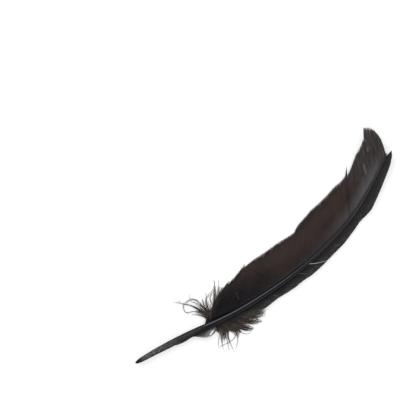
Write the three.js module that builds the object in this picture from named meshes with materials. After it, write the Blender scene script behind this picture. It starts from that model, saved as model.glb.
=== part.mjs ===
// A large wing feather of a turkey, lying on a flat surface with its grooved underside up.
// Millimetres, +Z up: the quill points to -Y, the broad vane to -X and the narrow vane to +X.
import * as THREE from "three";

// The shaft as it lies, seen from above. A stop is [distance from the quill's tip, value there].
const SHAFT_LENGTH = 321;
const QUILL_TIP = new THREE.Vector2(-22.4, -159.4);
const SHAFT_HEADING = [
  [0, 14.7],
  [40, 18.4],
  [80, 20.6],
  [120, 14.2],
  [160, 9.9],
  [200, 2.4],
  [240, -4.4],
  [280, -16.4],
  [321, -20],
];

// The shaft is bowed, so it rests on its middle and both ends stand clear of the surface.
const REST_START = 104;
const REST_END = 236;
const QUILL_LIFT = 4;
const TIP_LIFT = 7;

// Shaft sections, from the round hollow quill to the square grooved rachis.
const SHAFT_WIDTH = [
  [0, 1.2],
  [2, 3],
  [5, 4.2],
  [10, 4.9],
  [22, 5.8],
  [38, 6.6],
  [60, 7],
  [78, 6.5],
  [95, 5.6],
  [130, 4.8],
  [180, 3.8],
  [230, 2.9],
  [280, 1.9],
  [321, 0.8],
];
const SHAFT_HEIGHT = [
  [0, 1.2],
  [2, 2.6],
  [5, 3.6],
  [10, 4.4],
  [22, 5.4],
  [38, 6.2],
  [66, 6.6],
  [95, 5.8],
  [130, 4.8],
  [180, 3.6],
  [230, 2.7],
  [280, 1.8],
  [321, 0.8],
];
const GROOVE_DEPTH = [
  [64, 0],
  [70, 1.7],
  [76, 1.3],
  [95, 1.1],
  [180, 0.8],
  [280, 0.35],
  [321, 0.1],
];
const SHAFT_SIDES = 16;
const SHAFT_STEP = 4;
const TIP_SECTIONS = [1, 2.5];

// The sections turn from round to square: a power of 1 is an ellipse, a lower one has fuller corners.
const SQUARENESS = { start: 60, end: 84, power: 0.72 };

// The vanes join the sides of the shaft, a little above its back.
const ROOT_GAP = 0.3;
const ROOT_HEIGHT_SHARE = 0.3;
const VANE_DROP = 12;
const DOWN_DROOP = 24;
const DOWN_CLEARANCE = 0.4;
const BROAD_CURL = { start: 27, end: 34, rise: 1.6 };
const NARROW_CURL = { end: 12, rise: 2.6 };
const VANE_THICKNESS = { root: 0.9, tip: 0.3 };
const DOWN_THICKNESS = { root: 1.8, tip: 0.6 };
const BROAD_WEB = { step: 5, thickness: VANE_THICKNESS, columns: 7, under: underBroadVane };
const NARROW_WEB = { step: 5, thickness: VANE_THICKNESS, columns: 4, under: underNarrowVane };
const DOWN_WEB = { step: 1.5, thickness: DOWN_THICKNESS, columns: 6, under: underDown };

// A barb leaves the shaft at a wide angle and bends forward; BARB_BEND is the bent share of its run.
const BARB_BEND = 0.25;

// One row for each barb that shapes a worn edge:
// [where it leaves the shaft, how far its tip lies ahead of that, and how far out to the side].
const BROAD_BARBS = [
  [75.8, 25.5, 23.3],
  [80.9, 29.5, 26.4],
  [89, 31.4, 27.7],
  [98.4, 38.3, 32.8],
  [108.3, 40.7, 34],
  [123.2, 41.2, 33.6],
  [135.5, 41, 33.5],
  [145.1, 40.4, 32.7],
  [157, 38.4, 31.1],
  [163.7, 37.4, 30.5],
  [168.8, 40.8, 33.3],
  [188.7, 41.9, 34.1],
  [201, 40.6, 32.9],
  [213.8, 39.4, 31.6],
  [227.4, 38.3, 30.4],
  [243, 34.3, 27],
  [250.1, 33.2, 26.2],
  [251.2, 40.6, 28.5],
  [253.2, 32.3, 24.9],
  [256.2, 30.9, 24.3],
  [265.4, 32.5, 25.4],
  [273.4, 33.3, 26.2],
  [283, 32.4, 25.6],
  [291.4, 32.2, 25.5],
  [295.9, 36.7, 29.3],
  [304.5, 30.7, 24.7],
  [310.9, 24.8, 20],
  [315, 18.8, 15.6],
  [317.5, 13.4, 11],
  [319, 6.7, 5.6],
  [319.6, 2.6, 2.7],
];
const NARROW_BARBS = [
  [115.9, 17, 11.3],
  [132.9, 15.5, 9.8],
  [149.9, 17, 10.8],
  [160.5, 16.5, 10.4],
  [168.2, 18, 11.4],
  [187.5, 17.1, 11.3],
  [191, 14.5, 10.8],
  [191.4, 4.5, 3.1],
  [191.8, 15.9, 11.2],
  [197.2, 17.1, 10.8],
  [210.8, 17.6, 11],
  [226.3, 16.1, 9.9],
  [237.3, 15.1, 9.1],
  [248.1, 19.7, 11.8],
  [259.8, 18.2, 10.8],
  [271.1, 17.3, 10],
  [284, 15.9, 9],
  [297.4, 14.2, 7.9],
  [310.2, 10.7, 5.6],
  [317.8, 7.5, 3],
];

// The downy barbs round the top of the quill stand in tufts, so their rows step from tip to valley.
const UPPER_DOWN_BARBS = [
  [71, -3.9, 9.2],
  [71.4, -6.8, 21.2],
  [71.8, -15.8, 35.4],
  [72.2, -5.8, 24.2],
  [72.6, 1.2, 36.8],
  [73, 4.7, 24.1],
  [73.4, 9.8, 32.4],
  [73.8, 11.2, 25.1],
  [74.2, 14.7, 29.9],
  [74.6, 16.1, 21],
  [75, 28.2, 38.9],
  [75.2, 18.1, 18],
];
const LOWER_DOWN_BARBS = [
  [75.5, -2.1, 11.8],
  [76, 1.3, 25.3],
  [76.8, 2.3, 19.4],
  [77.6, 4, 27.3],
  [78.4, 4.4, 21.4],
  [79.2, 6.4, 30.2],
  [80.2, 8.3, 34],
  [81.5, 9.6, 31.3],
  [82.7, 9.4, 17.5],
  [85, 15, 20.5],
  [86.5, 15.5, 16.5],
  [88.5, 17.8, 23.3],
  [91.5, 18, 17],
  [94.5, 21, 22.1],
  [99, 20, 15.5],
  [103.5, 23.1, 19.8],
  [107.5, 21, 14],
  [111.5, 20.5, 16.4],
  [114.4, 16, 10.8],
];

// The torn membrane that stands round the pit where the groove starts, and a flake of dry sheath.
const MEMBRANE = {
  start: 62,
  end: 84,
  root: 4,
  hem: 0.6,
  reach: 6.9,
  fullness: 0.7,
  base: 5,
  rise: 1.6,
  thickness: 0.35,
  steps: 10,
  columns: 4,
};
const FLAKE = {
  start: 42,
  end: 57,
  side: -4.1,
  base: 3,
  width: 1.1,
  height: 2.2,
  thickness: 0.4,
  lip: 0.3,
  ends: 0.45,
  steps: 6,
};

// A smooth curve through stops, level beyond them.
function smooth(stops, at) {
  const last = stops.length - 1;
  const x = THREE.MathUtils.clamp(at, stops[0][0], stops[last][0]);
  const i = Math.min(Math.max(stops.findIndex((stop) => stop[0] > x) - 1, 0), last - 1);
  const from = x >= stops[last][0] ? last - 1 : i;
  const [x0, y0] = stops[from];
  const [x1, y1] = stops[from + 1];
  const t = (x - x0) / (x1 - x0);
  const rise0 = slope(stops, from) * (x1 - x0);
  const rise1 = slope(stops, from + 1) * (x1 - x0);
  return (
    y0 * (2 * t ** 3 - 3 * t ** 2 + 1) +
    rise0 * (t ** 3 - 2 * t ** 2 + t) +
    y1 * (3 * t ** 2 - 2 * t ** 3) +
    rise1 * (t ** 3 - t ** 2)
  );
}

function slope(stops, i) {
  const before = stops[Math.max(i - 1, 0)];
  const after = stops[Math.min(i + 1, stops.length - 1)];
  return (after[1] - before[1]) / (after[0] - before[0]);
}

// Points along the shaft, which runs on straight past its end, further than any barb reaches.
const PATH_STEP = 0.5;
const PATH_EXTENSION = 60;
const PATH = shaftPath(SHAFT_LENGTH + PATH_EXTENSION);

function shaftPath(length) {
  const points = [QUILL_TIP.clone()];
  for (let s = PATH_STEP; s <= length; s += PATH_STEP) {
    const heading = THREE.MathUtils.degToRad(smooth(SHAFT_HEADING, s - PATH_STEP / 2));
    const step = new THREE.Vector2(Math.sin(heading), Math.cos(heading)).multiplyScalar(PATH_STEP);
    points.push(points[points.length - 1].clone().add(step));
  }
  return points;
}

// Seen from above: the place s along the shaft and out to its broad side, or -out to the narrow one.
function place(s, out) {
  const at = THREE.MathUtils.clamp(s / PATH_STEP, 0, PATH.length - 2);
  const i = Math.floor(at);
  const along = PATH[i + 1].clone().sub(PATH[i]);
  const point = PATH[i].clone().addScaledVector(along, s / PATH_STEP - i);
  along.normalize();
  return point.add(new THREE.Vector2(-along.y, along.x).multiplyScalar(out));
}

// How high the shaft's back stands above the surface.
function lift(s) {
  const quill = Math.max(REST_START - s, 0) / REST_START;
  const tip = Math.max(s - REST_END, 0) / (SHAFT_LENGTH - REST_END);
  return QUILL_LIFT * quill ** 2 + TIP_LIFT * tip ** 2;
}

// How high a web's underside stands at a place s along the shaft and a distance out from it. Each
// starts at the side of the shaft. The broad vane drops to the surface and curls up at its edge, the
// narrow vane curls up all the way, and the down droops.
function rootHeight(s) {
  return ROOT_HEIGHT_SHARE * smooth(SHAFT_HEIGHT, s);
}

function underBroadVane(s, distance) {
  const drop = 1 - THREE.MathUtils.smoothstep(distance, 0, VANE_DROP);
  const curl = Math.max(distance - BROAD_CURL.start, 0) / (BROAD_CURL.end - BROAD_CURL.start);
  return lift(s) + rootHeight(s) * drop + BROAD_CURL.rise * curl ** 2;
}

function underNarrowVane(s, distance) {
  return lift(s) + rootHeight(s) + NARROW_CURL.rise * (distance / NARROW_CURL.end) ** 2;
}

function underDown(s, distance) {
  const droop = 1 - THREE.MathUtils.smoothstep(distance, 0, DOWN_DROOP);
  return lift(s) + DOWN_CLEARANCE + rootHeight(s) * droop;
}

// One closed body through rings of points that run anticlockwise as seen from the first ring. Strips
// cap the two ends, so point i and point n-1-i of a ring face each other across it.
function loft(rings) {
  const count = rings[0].length;
  const triangles = [];
  const quad = (a, b, c, d) => triangles.push(a, b, c, a, c, d);
  for (let r = 0; r + 1 < rings.length; r++) {
    for (let i = 0; i < count; i++) {
      const next = (i + 1) % count;
      quad(r * count + i, (r + 1) * count + i, (r + 1) * count + next, r * count + next);
    }
  }
  const end = (rings.length - 1) * count;
  for (let i = 0; i + 1 < count / 2; i++) {
    const across = count - 1 - i;
    quad(i, i + 1, across - 1, across);
    quad(end + i, end + across, end + across - 1, end + i + 1);
  }
  const positions = rings.flat().flatMap((point) => [point.x, point.y, point.z]);
  const geometry = new THREE.BufferGeometry();
  geometry.setAttribute("position", new THREE.Float32BufferAttribute(positions, 3));
  geometry.setIndex(triangles);
  geometry.computeVertexNormals();
  return geometry;
}

// The quill and rachis in one piece: round at first, then flat-backed with a groove along the top.
function shaftGeometry() {
  const rings = [];
  const steps = Math.round(SHAFT_LENGTH / SHAFT_STEP);
  for (let k = 0; k <= steps; k++) rings.push(shaftRing((k / steps) * SHAFT_LENGTH));
  rings.splice(1, 0, ...TIP_SECTIONS.map(shaftRing));
  return loft(rings);
}

function shaftRing(s) {
  const halfWidth = smooth(SHAFT_WIDTH, s) / 2;
  const halfHeight = smooth(SHAFT_HEIGHT, s) / 2;
  const squareness = THREE.MathUtils.smoothstep(s, SQUARENESS.start, SQUARENESS.end);
  const power = THREE.MathUtils.lerp(1, SQUARENESS.power, squareness);
  const back = Math.sin(Math.PI / 2 - (2 * Math.PI) / SHAFT_SIDES) ** power;
  const centre = lift(s) + halfHeight * back;
  const points = [];
  for (let k = 0; k < SHAFT_SIDES; k++) {
    const angle = -Math.PI / 2 + (k * 2 * Math.PI) / SHAFT_SIDES;
    const side = Math.sign(Math.cos(angle)) * Math.abs(Math.cos(angle)) ** power;
    const up = Math.sign(Math.sin(angle)) * Math.abs(Math.sin(angle)) ** power;
    const onTop = k === SHAFT_SIDES / 2;
    const across = onTop || k === 0 ? 0 : side * halfWidth;
    const height = centre + Math.max(up, -back) * halfHeight;
    const flat = place(s, -across);
    const groove = onTop ? Math.max(smooth(GROOVE_DEPTH, s), 0) : 0;
    points.push(new THREE.Vector3(flat.x, flat.y, height - groove));
  }
  return points;
}

// The barb rows with straight steps between them, none longer than step.
function everyBarb(rows, step) {
  const barbs = [];
  for (let i = 0; i + 1 < rows.length; i++) {
    const parts = Math.ceil((rows[i + 1][0] - rows[i][0]) / step);
    for (let k = 0; k < parts; k++) {
      barbs.push(rows[i].map((value, j) => THREE.MathUtils.lerp(value, rows[i + 1][j], k / parts)));
    }
  }
  barbs.push(rows[rows.length - 1]);
  return barbs;
}

// A thin web of barbs on one side of the shaft: side is 1 for the broad side, -1 for the narrow one.
function webGeometry(rows, side, { step, thickness, columns, under }) {
  const rings = everyBarb(rows, step).map(([start, ahead, out]) => {
    const top = [];
    const bottom = [];
    const root = smooth(SHAFT_WIDTH, start) / 2 + ROOT_GAP;
    for (let c = 0; c <= columns; c++) {
      const v = c / columns;
      const s = start + ahead * v * (1 - BARB_BEND + BARB_BEND * v);
      const distance = THREE.MathUtils.lerp(root, out, v);
      const low = under(s, distance);
      const thick = THREE.MathUtils.lerp(thickness.root, thickness.tip, v);
      const flat = place(s, side * distance);
      top.push(new THREE.Vector3(flat.x, flat.y, low + thick));
      bottom.unshift(new THREE.Vector3(flat.x, flat.y, low));
    }
    return [...top, ...bottom];
  });
  return loft(side > 0 ? rings : rings.map((ring) => ring.reverse()));
}

// The membrane arches out beside the pit like a small awning, thin as paper.
function membraneGeometry() {
  const rings = [];
  for (let k = 0; k <= MEMBRANE.steps; k++) {
    const t = k / MEMBRANE.steps;
    const s = THREE.MathUtils.lerp(MEMBRANE.start, MEMBRANE.end, t);
    const reach = MEMBRANE.hem + MEMBRANE.reach * Math.sin(Math.PI * t) ** MEMBRANE.fullness;
    const top = [];
    const bottom = [];
    for (let c = 0; c <= MEMBRANE.columns; c++) {
      const v = c / MEMBRANE.columns;
      const flat = place(s, -MEMBRANE.root - reach * v);
      const low = lift(s) + MEMBRANE.base + MEMBRANE.rise * Math.sin(Math.PI * v);
      top.unshift(new THREE.Vector3(flat.x, flat.y, low + MEMBRANE.thickness));
      bottom.push(new THREE.Vector3(flat.x, flat.y, low));
    }
    rings.push([...bottom, ...top]);
  }
  return loft(rings);
}

// The flake stands off the quill's side like a curled splinter.
function flakeGeometry() {
  const rings = [];
  for (let k = 0; k <= FLAKE.steps; k++) {
    const t = k / FLAKE.steps;
    const s = THREE.MathUtils.lerp(FLAKE.start, FLAKE.end, t);
    const size = THREE.MathUtils.lerp(FLAKE.ends, 1, Math.sin(Math.PI * t));
    const low = lift(s) + FLAKE.base - (FLAKE.height * size) / 2;
    const high = low + FLAKE.height * size;
    const near = place(s, FLAKE.side + FLAKE.thickness);
    const far = place(s, FLAKE.side);
    const curled = place(s, FLAKE.side - FLAKE.width * size);
    rings.push([
      new THREE.Vector3(near.x, near.y, high),
      new THREE.Vector3(near.x, near.y, low),
      new THREE.Vector3(curled.x, curled.y, low - FLAKE.lip),
      new THREE.Vector3(curled.x, curled.y, low),
      new THREE.Vector3(far.x, far.y, low + FLAKE.thickness),
      new THREE.Vector3(far.x, far.y, high),
    ]);
  }
  return loft(rings);
}

const feather = new THREE.Group();

function add(name, geometry, color, roughness) {
  const material = new THREE.MeshStandardMaterial({ color, roughness, metalness: 0 });
  const mesh = new THREE.Mesh(geometry, material);
  mesh.name = name;
  feather.add(mesh);
}

add("shaft", shaftGeometry(), 0x46464a, 0.4);
add("broad_vane", webGeometry(BROAD_BARBS, 1, BROAD_WEB), 0x382c2a, 0.6);
add("narrow_vane", webGeometry(NARROW_BARBS, -1, NARROW_WEB), 0x232426, 0.6);
add("upper_down", webGeometry(UPPER_DOWN_BARBS, 1, DOWN_WEB), 0x4a3f36, 0.9);
add("lower_down", webGeometry(LOWER_DOWN_BARBS, -1, DOWN_WEB), 0x40352d, 0.9);
add("umbilicus_membrane", membraneGeometry(), 0xb0aaa6, 0.5);
add("sheath_flake", flakeGeometry(), 0xa8a6a8, 0.5);

export default feather;
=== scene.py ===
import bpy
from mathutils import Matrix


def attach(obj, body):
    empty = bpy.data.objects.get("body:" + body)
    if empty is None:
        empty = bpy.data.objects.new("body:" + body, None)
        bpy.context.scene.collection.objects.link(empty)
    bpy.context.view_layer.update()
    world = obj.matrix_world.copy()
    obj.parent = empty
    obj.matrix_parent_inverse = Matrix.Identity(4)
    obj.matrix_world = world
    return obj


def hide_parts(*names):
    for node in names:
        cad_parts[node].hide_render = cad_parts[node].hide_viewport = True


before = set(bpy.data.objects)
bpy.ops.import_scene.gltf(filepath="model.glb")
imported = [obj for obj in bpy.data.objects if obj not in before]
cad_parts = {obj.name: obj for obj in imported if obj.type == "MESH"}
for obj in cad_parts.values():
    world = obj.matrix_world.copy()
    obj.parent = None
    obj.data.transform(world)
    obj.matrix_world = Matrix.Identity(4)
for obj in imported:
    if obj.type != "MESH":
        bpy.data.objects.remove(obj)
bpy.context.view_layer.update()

import math

import bpy
import numpy as np

# A large dark brown wing feather that lies with its grooved underside up. Tables and sizes here are in
# millimetres, the CAD's own figures, and meshes are scaled to metres as they are made.
# A place on the feather is (s, d): s along the shaft from the quill's tip, and d out from its centre
# line, positive to the broad side.
MM = 0.001
SEED = 20

SHAFT_LENGTH = 321
# The shaft's line runs on this far past its end, further than any barb reaches.
PATH_EXTENSION = 60
PATH_STEP = 0.5
QUILL_TIP = (-22.4, -159.4)
SHAFT_HEADING = [
    (0, 14.7), (40, 18.4), (80, 20.6), (120, 14.2), (160, 9.9),
    (200, 2.4), (240, -4.4), (280, -16.4), (321, -20),
]
REST_START = 104
REST_END = 236
QUILL_LIFT = 4
TIP_LIFT = 7
SHAFT_WIDTH = [
    (0, 1.2), (2, 3), (5, 4.2), (10, 4.9), (22, 5.8), (38, 6.6), (60, 7), (78, 6.5),
    (95, 5.6), (130, 4.8), (180, 3.8), (230, 2.9), (280, 1.9), (321, 0.8),
]
SHAFT_HEIGHT = [
    (0, 1.2), (2, 2.6), (5, 3.6), (10, 4.4), (22, 5.4), (38, 6.2), (66, 6.6),
    (95, 5.8), (130, 4.8), (180, 3.6), (230, 2.7), (280, 1.8), (321, 0.8),
]
GROOVE_DEPTH = [(64, 0), (70, 1.2), (76, 1.3), (95, 1.1), (180, 0.8), (280, 0.35), (321, 0.1)]
# Where the groove runs, and how wide it is, as shares of half the shaft's width.
GROOVE_PLACE = [(70, -0.45), (90, -0.35), (130, -0.28), (200, -0.18), (280, 0), (321, 0)]
GROOVE_WIDTH = 0.36
ROOT_HEIGHT_SHARE = 0.3
VANE_DROP = 12
DOWN_DROOP = 24
DOWN_CLEARANCE = 0.4
BROAD_CURL_START, BROAD_CURL_END, BROAD_CURL_RISE = 27, 34, 1.6
NARROW_CURL_END, NARROW_CURL_RISE = 12, 2.6
BARB_BEND = 0.25

# One row for each barb that shapes a worn edge: where it leaves the shaft, how far its tip lies ahead
# of that, and how far out to the side.
BROAD_BARBS = np.array([
    (75.8, 25.5, 23.3), (80.9, 29.5, 26.4), (89, 31.4, 27.7), (98.4, 38.3, 32.8), (108.3, 40.7, 34),
    (123.2, 41.2, 33.6), (135.5, 41, 33.5), (145.1, 40.4, 32.7), (157, 38.4, 31.1),
    (163.7, 37.4, 30.5), (168.8, 40.8, 33.3), (188.7, 41.9, 34.1), (201, 40.6, 32.9),
    (213.8, 39.4, 31.6), (227.4, 38.3, 30.4), (243, 34.3, 27), (250.1, 33.2, 26.2),
    (251.2, 42.4, 29.4), (253.2, 32.3, 24.9), (256.2, 30.9, 24.3), (265.4, 32.5, 25.4),
    (273.4, 33.3, 26.2), (283, 32.4, 25.6), (291.4, 33.2, 26.2), (295.9, 37.8, 30.9),
    (304.5, 31.5, 25.3), (310.9, 24.8, 20), (315, 18.8, 15.6), (317.5, 13.4, 11),
    (319, 6.7, 5.6), (319.6, 2.6, 2.7),
])
NARROW_BARBS = np.array([
    (115.9, 17, 11.3), (132.9, 15.5, 9.8), (149.9, 17, 10.8), (160.5, 16.5, 10.4), (168.2, 18, 11.4),
    (187.5, 17.1, 11.3), (191, 14.5, 10.8), (191.4, 4.5, 3.1), (191.7, 14.7, 11),
    (197.2, 17.1, 10.8), (210.8, 17.6, 11), (226.3, 16.1, 9.9), (237.3, 15.1, 9.1),
    (248.1, 19.7, 11.8), (259.8, 18.2, 10.8), (271.1, 17.3, 10), (284, 15.9, 9),
    (297.4, 14.2, 7.9), (310.2, 10.7, 5.6), (317.8, 7.5, 3),
])
# The same for the dense soft barbs at the foot of the narrow side, where they end in ragged clumps.
LOWER_DOWN_BARBS = np.array([
    (81.2, 3, 7.3), (81.6, 2.9, 11.6), (83.5, 5.5, 12.5), (85.5, 7.3, 13.6), (86.7, 8.5, 13.6),
    (88, 9.8, 14.9), (88.8, 10, 18.3), (89.6, 9.9, 19.8), (91, 12, 17.9), (92.6, 13.2, 19.2),
    (94.4, 14.4, 21.2), (96.4, 16.1, 22.8), (98.8, 17, 21.8), (99.6, 14.6, 18.8), (101.5, 17, 19),
    (103.5, 19.3, 20.3), (104.8, 19.2, 19.3), (106, 16, 15.4), (107.8, 17, 15.5),
    (110, 18.8, 15.4), (112.2, 18.8, 13.5), (114, 18.5, 12.2), (115.5, 18, 11.8),
])

# The camera looks straight down. FRAME_WIDTH is what it sees from side to side at the surface.
CAMERA_PLACE = (-88.4, -5.6)
CAMERA_TURN = 44.8
CAMERA_HEIGHT = 2500
FRAME_WIDTH = 382.4
SENSOR_WIDTH = 36
CLIP_M = (0.1, 20)
# Each soft light's name, place and width in metres, and power in watts.
LIGHTS = [
    ("key", (-1.0, 0.1, 1.2), 1.0, 14),
    ("fill", (0.9, -0.7, 1.5), 1.4, 9),
    ("back", (0.3, 1.2, 1.4), 1.3, 8),
]
ROOM_LIGHT = 0.6
# The surface is a little grey and gives off light, so that it comes out white with faint shadows.
SURFACE_HALF_M = 3.0
SURFACE_GREY = 0.35
SURFACE_GLOW = 0.6


def smooth(stops, at):
    """A smooth curve through stops, level beyond them."""
    x, y = np.array(stops, float).T
    last = len(x) - 1
    before = np.maximum(np.arange(last + 1) - 1, 0)
    after = np.minimum(np.arange(last + 1) + 1, last)
    slope = (y[after] - y[before]) / (x[after] - x[before])
    at = np.clip(at, x[0], x[-1])
    i = np.clip(np.searchsorted(x, at, side="right") - 1, 0, last - 1)
    width = x[i + 1] - x[i]
    t = (at - x[i]) / width
    return (
        y[i] * (2 * t**3 - 3 * t**2 + 1)
        + slope[i] * width * (t**3 - 2 * t**2 + t)
        + y[i + 1] * (3 * t**2 - 2 * t**3)
        + slope[i + 1] * width * (t**3 - t**2)
    )


def smoothstep(at, low, high):
    t = np.clip((at - low) / (high - low), 0, 1)
    return t * t * (3 - 2 * t)


def mix(a, b, t):
    return a + (b - a) * t


def shaft_path():
    """Points along the shaft's centre line, which runs on past its end."""
    middle = np.arange(0, SHAFT_LENGTH + PATH_EXTENSION, PATH_STEP) + PATH_STEP / 2
    heading = np.radians(smooth(SHAFT_HEADING, middle))
    steps = np.stack([np.sin(heading), np.cos(heading)], -1) * PATH_STEP
    return np.vstack([QUILL_TIP, QUILL_TIP + np.cumsum(steps, 0)])


PATH = shaft_path()


def place(s, d):
    """Where the place (s, d) lies as seen from above, as an array that ends in x and y."""
    s, d = np.broadcast_arrays(np.asarray(s, float), np.asarray(d, float))
    i = np.clip((s / PATH_STEP).astype(int), 0, len(PATH) - 2)
    along = PATH[i + 1] - PATH[i]
    point = PATH[i] + along * (s / PATH_STEP - i)[..., None]
    along = along / PATH_STEP
    return point + np.stack([-along[..., 1], along[..., 0]], -1) * d[..., None]


def lift(s):
    """How high the shaft's back stands above the surface."""
    quill = np.maximum(REST_START - s, 0) / REST_START
    tip = np.maximum(s - REST_END, 0) / (SHAFT_LENGTH - REST_END)
    return QUILL_LIFT * quill**2 + TIP_LIFT * tip**2


def root_height(s):
    return ROOT_HEIGHT_SHARE * smooth(SHAFT_HEIGHT, s)


def root_side(s):
    """How far out the barbs' roots are, a little inside the shaft."""
    return smooth(SHAFT_WIDTH, s) / 2 - BARB_ROOT_DEPTH


def under_broad(s, d):
    drop = 1 - smoothstep(d, 0, VANE_DROP)
    curl = np.maximum(d - BROAD_CURL_START, 0) / (BROAD_CURL_END - BROAD_CURL_START)
    return lift(s) + root_height(s) * drop + BROAD_CURL_RISE * curl**2


def under_narrow(s, d):
    return lift(s) + root_height(s) + NARROW_CURL_RISE * (d / NARROW_CURL_END) ** 2


def under_down(s, d):
    return lift(s) + DOWN_CLEARANCE + root_height(s) * (1 - smoothstep(d, 0, DOWN_DROOP))


# Mesh building from arrays

def build_mesh(name, points, faces):
    """A mesh from points in millimetres and a list of index arrays, one row a face, facing out."""
    faces = outward(points, faces)
    sizes = np.concatenate([np.full(len(group), group.shape[1]) for group in faces])
    corners = np.concatenate([group.ravel() for group in faces])
    mesh = bpy.data.meshes.new(name)
    mesh.vertices.add(len(points))
    mesh.vertices.foreach_set("co", (points * MM).astype(np.float32).ravel())
    mesh.loops.add(len(corners))
    mesh.loops.foreach_set("vertex_index", corners.astype(np.int32))
    mesh.polygons.add(len(sizes))
    mesh.polygons.foreach_set("loop_start", np.r_[0, np.cumsum(sizes)[:-1]].astype(np.int32))
    mesh.update(calc_edges=True)
    return mesh, corners


def outward(points, faces):
    """The same faces, all turned round if together they enclose a negative volume."""
    volume = 0
    for group in faces:
        a = points[group[:, 0]]
        for k in range(1, group.shape[1] - 1):
            b, c = points[group[:, k]], points[group[:, k + 1]]
            volume += np.einsum("ij,ij->", a, np.cross(b, c))
    return faces if volume > 0 else [group[:, ::-1] for group in faces]


def set_map(mesh, u, v):
    """The UV map, from the place on it of each corner of the faces."""
    layer = mesh.uv_layers.new(name="OFBake")
    layer.data.foreach_set("uv", np.stack([u, v], -1).astype(np.float32).ravel())


def map_strip(index, level, count):
    """Places across the map for the index-th of count strips, side by side, with a margin round each."""
    return (index + 0.1 + 0.8 * level) / count


def sweep_faces(count, stations, sides):
    """Faces of many closed tubes, each of so many stations with so many points round each."""
    ring = np.arange(sides)
    following = np.roll(ring, -1)
    start = np.arange(count)[:, None, None] * stations * sides
    near = start + np.arange(stations - 1)[None, :, None] * sides
    quads = np.stack([near + ring, near + following, near + sides + following, near + sides + ring], -1)
    end = start[:, 0] + (stations - 1) * sides
    return [quads.reshape(-1, 4), (start[:, 0] + ring)[:, ::-1], end + ring]


def hard_edges(mesh, sides, ridges):
    """Sharp edges along the tubes at those points of their section, and a smooth surface between."""
    ends = np.empty(len(mesh.edges) * 2, np.int32)
    mesh.edges.foreach_get("vertices", ends)
    section = ends.reshape(-1, 2) % sides
    sharp = (section[:, 0] == section[:, 1]) & np.isin(section[:, 0], ridges)
    layer = mesh.attributes.new("sharp_edge", "BOOLEAN", "EDGE")
    layer.data.foreach_set("value", sharp)


def add_object(name, data):
    added = bpy.data.objects.new(name, data)
    bpy.context.scene.collection.objects.link(added)
    return added


def add_piece(name, mesh, node, material, numbers):
    """A visible piece, with named numbers for each of its points, for the material to read."""
    for key, values in numbers.items():
        layer = mesh.attributes.new(key, "FLOAT", "POINT")
        layer.data.foreach_set("value", np.asarray(values, np.float32).ravel())
    piece = add_object(name, mesh)
    mesh.materials.append(material)
    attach(piece, "root")
    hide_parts(node)
    return piece


# Materials

def colour(red, green, blue):
    """Linear light from a display colour of 0 to 255."""
    def linear(value):
        value /= 255
        return value / 12.92 if value <= 0.04045 else ((value + 0.055) / 1.055) ** 2.4
    return (linear(red), linear(green), linear(blue), 1)


class Nodes:
    """A few shorthands for building one material's node tree, with the base colour made so far."""

    def __init__(self, name, specular):
        self.material = bpy.data.materials.new(name)
        self.material.use_nodes = True
        self.tree = self.material.node_tree
        self.shader = self.tree.nodes["Principled BSDF"]
        self.shader.inputs["Specular IOR Level"].default_value = specular
        self.base = None

    def add(self, kind, **settings):
        node = self.tree.nodes.new("ShaderNode" + kind)
        for name, value in settings.items():
            setattr(node, name, value)
        return node

    def link(self, value, socket):
        if isinstance(value, bpy.types.NodeSocket):
            self.tree.links.new(value, socket)
        else:
            socket.default_value = value

    def fill(self, node, values):
        """Gives the node's inputs their values, in order."""
        for value, socket in zip(values, node.inputs):
            self.link(value, socket)
        return node.outputs[0]

    def set(self, node, **values):
        for name, value in values.items():
            self.link(value, node.inputs[name])

    def number(self, name):
        return self.add("Attribute", attribute_name=name).outputs["Fac"]

    def math(self, operation, *values):
        return self.fill(self.add("Math", operation=operation), values)

    def times(self, a, b):
        return self.math("MULTIPLY", a, b)

    def ramp(self, value, low, high, bottom=0.0, top=1.0, kind="SMOOTHSTEP"):
        """A step from bottom, where value is low, to top, where it is high."""
        return self.fill(self.add("MapRange", interpolation_type=kind), (value, low, high, bottom, top))

    def band(self, value, low, high, edge):
        """1 where value is between low and high, with soft edges."""
        return self.times(self.ramp(value, low - edge, low), self.ramp(value, high + edge, high))

    def noise(self, x, x_rate, y, y_rate, detail=2.0, roughness=0.5):
        """Noise that changes so many times as x, and as y, goes up by 1."""
        spot = self.fill(self.add("CombineXYZ"), (self.times(x, x_rate), self.times(y, y_rate)))
        node = self.add("TexNoise")
        self.set(node, Vector=spot, Scale=1.0, Detail=detail, Roughness=roughness)
        return node.outputs["Fac"]

    def blend(self, factor, a, b, mode="MIX"):
        node = self.add("Mix", data_type="RGBA", blend_type=mode)
        self.set(node, Factor=factor, A=a, B=b)
        return node.outputs["Result"]

    def paint(self, factor, tone, strength=None):
        """Lays a display colour over the base colour, as far as factor and strength say."""
        if strength is not None:
            factor = self.times(factor, strength)
        self.base = self.blend(factor, self.base, colour(*tone))

    def shade(self, light):
        """Makes the base colour lighter or darker."""
        grey = self.fill(self.add("CombineColor"), (light, light, light))
        self.base = self.blend(1.0, self.base, grey, "MULTIPLY")

    def bump(self, height, strength, distance):
        node = self.add("Bump")
        self.set(node, Strength=strength, Distance=distance, Height=height)
        self.link(node.outputs[0], self.shader.inputs["Normal"])

    def finish(self, roughness):
        self.link(self.base, self.shader.inputs["Base Color"])
        self.link(roughness, self.shader.inputs["Roughness"])
        return self.material


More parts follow.
